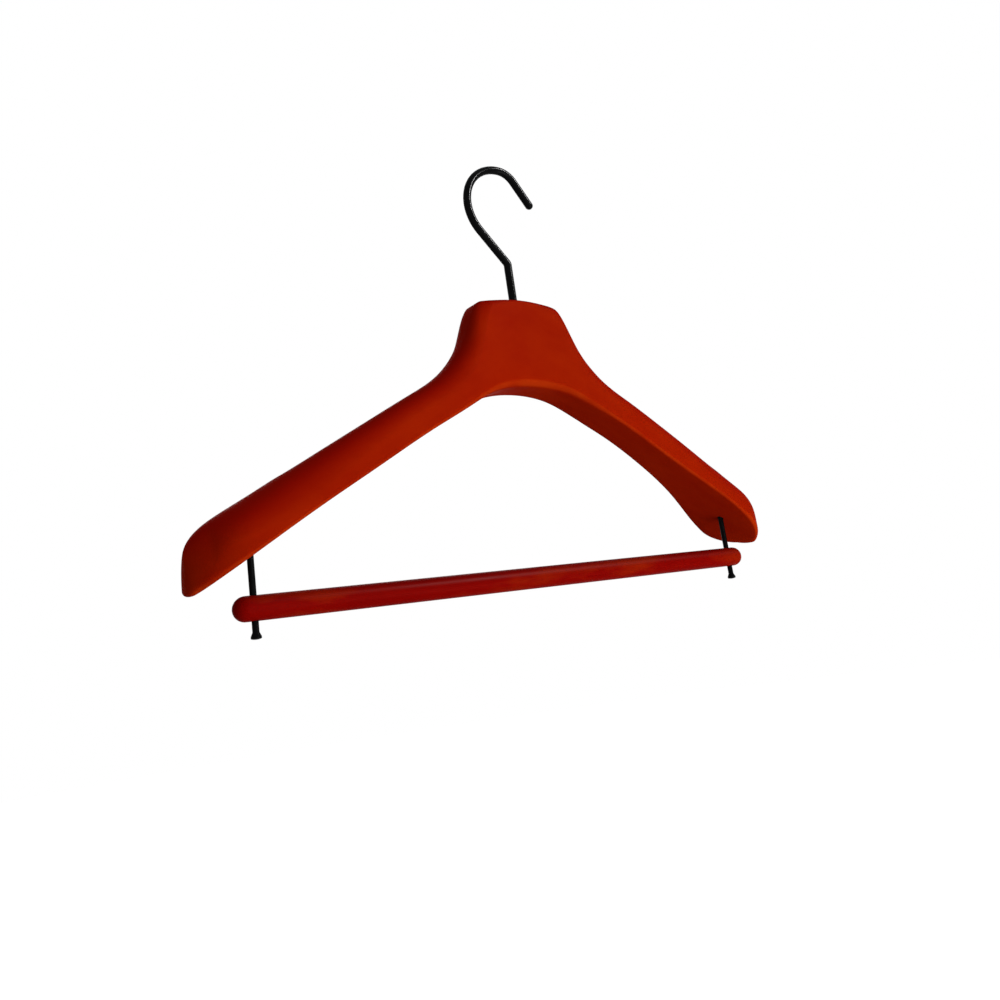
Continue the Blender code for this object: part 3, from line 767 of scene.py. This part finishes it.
def zinc_plating(name, zinc):
    """Dull plated steel with fine turning marks."""
    made, tree, shader = new_material(name, {"Metallic": 1.0})
    place = add(tree, "ShaderNodeTexCoord").outputs["Object"]
    rings = noise(tree, place, ZINC_RINGS)
    tone = blend_colours(tree, rings, opaque(zinc, ZINC_RING_TONE), opaque(zinc))
    surface(tree, shader, tone, rings, ZINC_ROUGHNESS, rings, ZINC_RELIEF)
    return made


def bare_beech(name, beech):
    """Bare dowel wood with short flecks along X."""
    made, tree, shader = new_material(name, {})
    place = add(tree, "ShaderNodeTexCoord").outputs["Object"]
    flecks = noise(tree, place, BEECH_FLECKS)
    share = spread(tree, flecks, *BEECH_SHARE)
    tone = blend_colours(tree, share, opaque(beech), opaque(beech, BEECH_FLECK_TONE))
    surface(tree, shader, tone, flecks, BEECH_ROUGHNESS, flecks, BEECH_RELIEF)
    return made


def found_or_made(name, maker, *arguments):
    return bpy.data.materials.get(name) or maker(name, *arguments)


def black_steel():
    looks = bpy.context.scene.hanger_finishes
    return found_or_made("black_lacquered_steel_finish", black_lacquer, looks.black, looks.black_gloss)


def refinish(node, material):
    """Gives a CAD piece that stays as it is a finer material."""
    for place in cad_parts[node].material_slots:
        place.material = material


def pin_hole(radius, low, high, place):
    """A straight hole about Z through or into the wood."""
    return turned([(0, low), (radius, low), (radius, high), (0, high)], (place.x, place.y, 0))


class HANGER_OT_shoulders(Operator):
    """Carves and lacquers the two wooden halves, with the holes for the hook, dowels and pins"""

    bl_idname = "hanger.shoulders"
    bl_label = "Shoulders"

    def execute(self, context):
        sizes = context.scene.hanger_shoulders
        looks = context.scene.hanger_finishes
        form = ArmForm(sizes)
        pin = (PIN_FOOT + PIN_TOP) / 2
        for name, side in (("left_arm", -1), ("right_arm", 1)):
            hole = Vector((side * pin.x, pin.y, 0))
            holes = [self.swivel_room(sizes)]
            holes += [self.dowel_room(node) for node in ("joint_dowel_front", "joint_dowel_back")]
            radius = context.scene.hanger_bar.pin_diameter / 2 + CLEARANCE
            holes.append(pin_hole(radius, PIN_FOOT.z, PIN_TOP.z + CLEARANCE, hole))
            lacquer = lacquered_wood(
                name + "_lacquer", looks.shoulder_red, looks.shoulder_deep, looks.edge_highlight_red,
                looks.shoulder_gloss, -side * sizes.grain_slope,
            )
            piece(
                name + "_carved", carve(form.blank(side), holes), lacquer,
                "hanger", "red_lacquered_wood", name,
            )
        return {"FINISHED"}

    def swivel_room(self, sizes):
        """The space for the wire, its bush, the washer and the hook's head."""
        wire = bpy.context.scene.hanger_hook.wire_diameter / 2 + CLEARANCE
        bush = BUSH_HIGH.x + CLEARANCE
        washer = WASHER_HIGH.x + CLEARANCE
        floor = HOOK_FOOT - CLEARANCE
        rim = sizes.entry_chamfer
        return turned([
            (0, floor),
            (washer, floor),
            (washer, WASHER_HIGH.z + CLEARANCE),
            (bush, WASHER_HIGH.z + CLEARANCE),
            (bush, BUSH_HIGH.z + CLEARANCE),
            (wire, BUSH_HIGH.z + CLEARANCE),
            (wire, NECK_TOP - rim),
            (wire + 2 * rim, NECK_TOP + rim),
            (0, NECK_TOP + rim),
        ], (0, 0, 0))

    def dowel_room(self, node):
        low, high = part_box(node)
        lying = Matrix.Rotation(math.pi / 2, 3, "Y")
        radius = (high.z - low.z) / 2 + CLEARANCE
        half = (high.x - low.x) / 2 + CLEARANCE
        profile = [(0, -half), (radius, -half), (radius, half), (0, half)]
        return turned(profile, (low + high) / 2, turn=lying)


class HANGER_OT_joint(Operator):
    """Finishes the two bare dowels inside the neck's glued joint"""

    bl_idname = "hanger.joint"
    bl_label = "Dowels"

    def execute(self, context):
        beech = bare_beech("dowel_beech", context.scene.hanger_finishes.beech)
        for node in ("joint_dowel_front", "joint_dowel_back"):
            refinish(node, beech)
        return {"FINISHED"}


class HANGER_OT_hook(Operator):
    """Bends the wire hook, and finishes the bush and the washer that it turns in"""

    bl_idname = "hanger.hook"
    bl_label = "Hook"

    def execute(self, context):
        piece(
            "hook_wire", hook_skin(context.scene.hanger_hook), black_steel(),
            "hook", "black_lacquered_steel", "hook",
        )
        zinc = zinc_plating("swivel_zinc", context.scene.hanger_finishes.zinc)
        for node in ("hook_bush", "hook_washer"):
            refinish(node, zinc)
        return {"FINISHED"}


class HANGER_OT_pins(Operator):
    """Makes the two headed pins that carry the trouser bar"""

    bl_idname = "hanger.pins"
    bl_label = "Pins"

    def execute(self, context):
        sizes = context.scene.hanger_bar
        head = (PIN_TOP.x - PIN_FOOT.x) / 2
        radius = sizes.pin_diameter / 2
        rim_low = PIN_FOOT.z + sizes.head_height - sizes.head_rim
        profile = [(0, PIN_FOOT.z)]
        for i in range(1, DOME_STEPS + 1):
            a = math.pi / 2 * i / DOME_STEPS
            profile.append((head * math.sin(a), rim_low - (rim_low - PIN_FOOT.z) * math.cos(a)))
        profile.append((head, rim_low + sizes.head_rim))
        profile.append((radius, rim_low + sizes.head_rim + sizes.head_flare))
        profile.append((radius, PIN_TOP.z - sizes.pin_point))
        profile += [(radius / 2, PIN_TOP.z), (0, PIN_TOP.z)]
        middle = (PIN_FOOT + PIN_TOP) / 2
        for name, side in (("left_pin", -1), ("right_pin", 1)):
            place = (side * middle.x, middle.y, 0)
            piece(
                name + "_steel", turned(profile, place), black_steel(),
                "hanger", "black_lacquered_steel", name,
            )
        return {"FINISHED"}


class HANGER_OT_trouser_bar(Operator):
    """Turns the trouser bar, with its domed ends and its two cross holes"""

    bl_idname = "hanger.trouser_bar"
    bl_label = "Trouser bar"

    def execute(self, context):
        sizes = context.scene.hanger_bar
        looks = context.scene.hanger_finishes
        radius = sizes.bar_diameter / 2
        middle = (BAR_LOW + BAR_HIGH) / 2
        straight = (BAR_HIGH.x - BAR_LOW.x) / 2 - radius
        end = []
        for i in range(DOME_STEPS + 1):
            a = math.pi / 2 * i / DOME_STEPS
            end.append((radius * math.sin(a), straight + radius * math.cos(a)))
        profile = [(r, -x) for r, x in end]
        profile += [(radius, straight * (2 * i / BAR_STEPS - 1)) for i in range(1, BAR_STEPS)]
        profile += end[::-1]
        lying = Matrix.Rotation(math.pi / 2, 3, "Y") @ Matrix.Rotation(math.pi / BAR_SIDES, 3, "Z")
        blank = turned(profile, middle, BAR_SIDES, lying)
        pin = (PIN_FOOT + PIN_TOP) / 2
        hole = sizes.pin_diameter / 2 + CLEARANCE
        holes = []
        for side in (-1, 1):
            place = Vector((side * pin.x, pin.y, 0))
            holes.append(pin_hole(hole, middle.z - 2 * radius, middle.z + 2 * radius, place))
        lacquer = turned_lacquer("bar_lacquer", looks.bar_red, looks.bar_deep, looks.bar_gloss)
        piece(
            "trouser_bar_turned", carve(blank, holes), lacquer,
            "bar", "red_lacquered_bar", "trouser_bar", axes=Matrix.Translation(middle),
        )
        return {"FINISHED"}


class HANGER_OT_studio(Operator):
    """Sets up the camera, the lights, the pale world and the pale floor"""

    bl_idname = "hanger.studio"
    bl_label = "Studio"

    def execute(self, context):
        studio = context.scene.hanger_studio
        context.scene.view_settings.view_transform = "Standard"
        self.make_camera(context, studio)
        self.make_world(context, studio)
        self.make_floor(context, studio)
        self.make_lamp(context, "front_light", FRONT_LIGHT, studio.front_power)
        self.make_lamp(context, "low_light", LOW_LIGHT, studio.low_power)
        self.make_lamp(context, "back_light", BACK_LIGHT, studio.back_power)
        glint = self.make_lamp(context, "glint_light", GLINT_LIGHT, studio.glint_power)
        glint.visible_diffuse = False
        return {"FINISHED"}

    def make_camera(self, context, studio):
        ahead = Vector((
            math.sin(studio.yaw) * math.cos(studio.pitch),
            math.cos(studio.yaw) * math.cos(studio.pitch),
            math.sin(studio.pitch),
        ))
        right = Vector((math.cos(studio.yaw), -math.sin(studio.yaw), 0))
        up = right.cross(ahead)
        across = math.cos(studio.roll) * right + math.sin(studio.roll) * up
        upright = -math.sin(studio.roll) * right + math.cos(studio.roll) * up
        data = bpy.data.cameras.new("camera")
        data.lens = studio.focal_share * data.sensor_width
        data.shift_x = 0.5 - studio.centre_right_share
        data.shift_y = studio.centre_down_share - 0.5
        camera = bpy.data.objects.new("camera", data)
        context.collection.objects.link(camera)
        axes = Matrix((across, upright, -ahead)).transposed().to_4x4()
        place = Vector((studio.camera_x, studio.camera_y, studio.camera_z))
        camera.matrix_world = Matrix.Translation(place) @ axes
        context.scene.camera = camera

    def make_world(self, context, studio):
        """White where the camera, gloss or glass sees it, and plainer as a source of light."""
        world = bpy.data.worlds.new("studio_world")
        world.use_nodes = True
        tree = world.node_tree
        background = tree.nodes["Background"]
        background.inputs["Color"].default_value = (1, 1, 1, 1)
        seen = self.seen(tree)
        strength = reckon(tree, "MAXIMUM", seen, studio.ambient)
        tree.links.new(strength, background.inputs["Strength"])
        context.scene.world = world

    def seen(self, tree):
        """1 for rays from the camera, from gloss and through glass, else 0."""
        path = tree.nodes.new("ShaderNodeLightPath").outputs
        direct = reckon(tree, "MAXIMUM", path["Is Camera Ray"], path["Is Glossy Ray"])
        return reckon(tree, "MAXIMUM", direct, path["Is Transmission Ray"])

    def make_floor(self, context, studio):
        """A round pale floor that glows white to the camera and still darkens in shadow."""
        bm = bmesh.new()
        bmesh.ops.create_circle(bm, cap_ends=True, segments=FLOOR_SIDES, radius=FLOOR_RADIUS)
        mesh = bpy.data.meshes.new("studio_floor")
        bm.to_mesh(mesh)
        bm.free()
        floor = bpy.data.objects.new("studio_floor", mesh)
        context.collection.objects.link(floor)
        floor.location.z = -studio.floor_drop
        pale, tree, shader = new_material("pale_floor", {
            "Base Color": opaque((FLOOR_GREY, FLOOR_GREY, FLOOR_GREY)),
            "Roughness": FLOOR_ROUGHNESS,
            "Specular IOR Level": 0.0,
            "Emission Color": (1, 1, 1, 1),
        })
        glow = reckon(tree, "MULTIPLY", self.seen(tree), FLOOR_GLOW)
        tree.links.new(glow, shader.inputs["Emission Strength"])
        mesh.materials.append(pale)

    def make_lamp(self, context, name, stand, power):
        """An oval lamp, given by its place and its width and height, turned to the hanger."""
        place, size = stand
        data = bpy.data.lights.new(name, "AREA")
        data.shape = "ELLIPSE"
        data.size, data.size_y = size
        data.energy = power
        lamp = bpy.data.objects.new(name, data)
        context.collection.objects.link(lamp)
        lamp.location = place
        lamp.rotation_mode = "QUATERNION"
        lamp.rotation_quaternion = (LIGHTS_AIM - Vector(place)).to_track_quat("-Z", "Y")
        return lamp


class HANGER_PT_panel(Panel):
    """Lists the hanger's pieces with their sizes"""

    bl_idname = "HANGER_PT_panel"
    bl_label = "Suit Hanger"
    bl_space_type = "VIEW_3D"
    bl_region_type = "UI"
    bl_category = "Hanger"

    def draw(self, context):
        scene = context.scene
        for operator, sizes in (
            ("hanger.shoulders", scene.hanger_shoulders),
            ("hanger.joint", None),
            ("hanger.hook", scene.hanger_hook),
            ("hanger.pins", None),
            ("hanger.trouser_bar", scene.hanger_bar),
            ("hanger.studio", scene.hanger_studio),
        ):
            box = self.layout.box()
            box.operator(operator)
            for name in (sizes.__annotations__ if sizes else ()):
                box.prop(sizes, name)
        box = self.layout.box()
        for name in scene.hanger_finishes.__annotations__:
            box.prop(scene.hanger_finishes, name)


GROUPS = {
    "hanger_shoulders": ShoulderSizes,
    "hanger_hook": HookSizes,
    "hanger_bar": BarSizes,
    "hanger_finishes": Finishes,
    "hanger_studio": StudioSettings,
}
CLASSES = (
    *GROUPS.values(),
    HANGER_OT_shoulders,
    HANGER_OT_joint,
    HANGER_OT_hook,
    HANGER_OT_pins,
    HANGER_OT_trouser_bar,
    HANGER_OT_studio,
    HANGER_PT_panel,
)


def register():
    for made in CLASSES:
        bpy.utils.register_class(made)
    for name, group in GROUPS.items():
        setattr(bpy.types.Scene, name, PointerProperty(type=group))


def unregister():
    for name in GROUPS:
        delattr(bpy.types.Scene, name)
    for made in reversed(CLASSES):
        bpy.utils.unregister_class(made)


def main():
    register()
    bpy.ops.hanger.shoulders()
    bpy.ops.hanger.joint()
    bpy.ops.hanger.hook()
    bpy.ops.hanger.pins()
    bpy.ops.hanger.trouser_bar()
    bpy.ops.hanger.studio()


if __name__ == "__main__":
    main()
